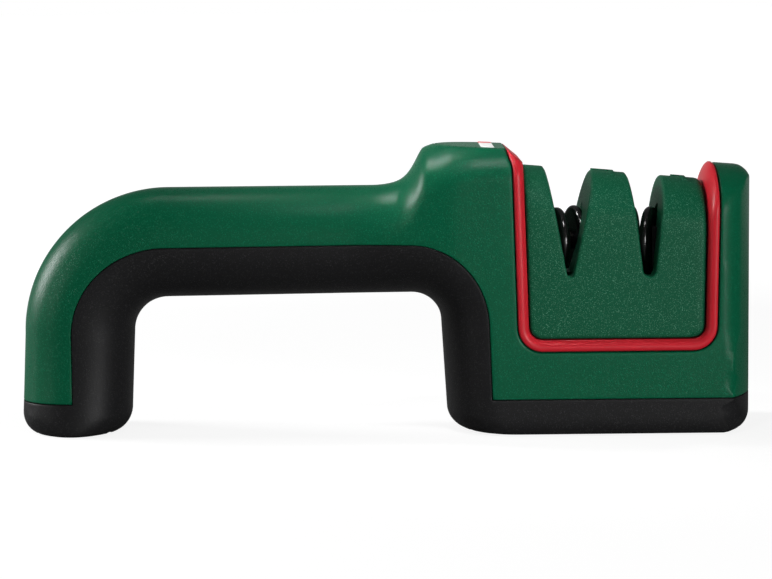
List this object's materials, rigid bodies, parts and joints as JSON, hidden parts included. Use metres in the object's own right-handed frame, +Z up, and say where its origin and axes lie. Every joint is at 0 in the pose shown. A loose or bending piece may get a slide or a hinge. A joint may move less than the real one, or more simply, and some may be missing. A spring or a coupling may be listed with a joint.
{
  "type": "knife sharpener",
  "caption": "Bridge-shaped hand-held knife sharpener with a curved grip and a head holding V slots with turning abrasive discs behind a cover framed by a U-shaped trim.",
  "frame": {"origin": "centre of the bounding box at the floor that the pads stand on", "axes": "+X from the foot to the head along the length, +Z up, +Y away from the side with the slots' front openings as pictured"},
  "size_m": [0.207, 0.0428, 0.0809],
  "materials": {
    "green_body": "fine satin texture",
    "black_body": "fine soft-touch texture",
    "red_trim": "satin to gloss",
    "green_cover": "grainy texture",
    "grey_carrier": "satin",
    "abrasive": "smooth dark ceramic",
    "steel": "satin",
    "brass_bush": "satin",
    "rubber_pad": "matt",
    "white_plate": "smooth"
  },
  "bodies": {
    "sharpener_body": {"badge_plate": "white_plate", "base_pad": "rubber_pad", "base_screw_front_left": "steel", "base_screw_front_right": "steel", "base_screw_rear_left": "steel", "base_screw_rear_right": "steel", "coarse_carrier": "grey_carrier", "coarse_carrier_screw_left": "steel", "coarse_carrier_screw_right": "steel", "coarse_disc_front_pin": "steel", "coarse_disc_rear_pin": "steel", "fine_carrier": "grey_carrier", "fine_carrier_screw_left": "steel", "fine_carrier_screw_right": "steel", "fine_disc_front_pin": "steel", "fine_disc_rear_pin": "steel", "foot_pad": "rubber_pad", "foot_screw": "steel", "insert_cover": "green_cover", "lower_shell": "black_body", "trim_frame": "red_trim", "upper_shell": "green_body"},
    "coarse_disc_front_body": {"coarse_disc_front": "abrasive", "coarse_disc_front_bush": "brass_bush"},
    "coarse_disc_rear_body": {"coarse_disc_rear": "abrasive", "coarse_disc_rear_bush": "brass_bush"},
    "fine_disc_front_body": {"fine_disc_front": "abrasive", "fine_disc_front_bush": "brass_bush"},
    "fine_disc_rear_body": {"fine_disc_rear": "abrasive", "fine_disc_rear_bush": "brass_bush"}
  },
  "joints": [
    {"name": "coarse_disc_front_spin", "type": "hinge", "parent": "sharpener_body", "child": "coarse_disc_front_body", "pos_m": [0.049, -0.0035, 0.0528], "axis": [-0.9781, -0.2079, 0], "continuous": true},
    {"name": "coarse_disc_rear_spin", "type": "hinge", "parent": "sharpener_body", "child": "coarse_disc_rear_body", "pos_m": [0.0544, 0.0035, 0.0528], "axis": [0.9781, 0.2079, 0], "continuous": true},
    {"name": "fine_disc_front_spin", "type": "hinge", "parent": "sharpener_body", "child": "fine_disc_front_body", "pos_m": [0.07525, -0.0035, 0.0528], "axis": [0.9563, -0.2924, 0], "continuous": true},
    {"name": "fine_disc_rear_spin", "type": "hinge", "parent": "sharpener_body", "child": "fine_disc_rear_body", "pos_m": [0.07015, 0.0035, 0.0528], "axis": [-0.9563, 0.2924, 0], "continuous": true}
  ]
}
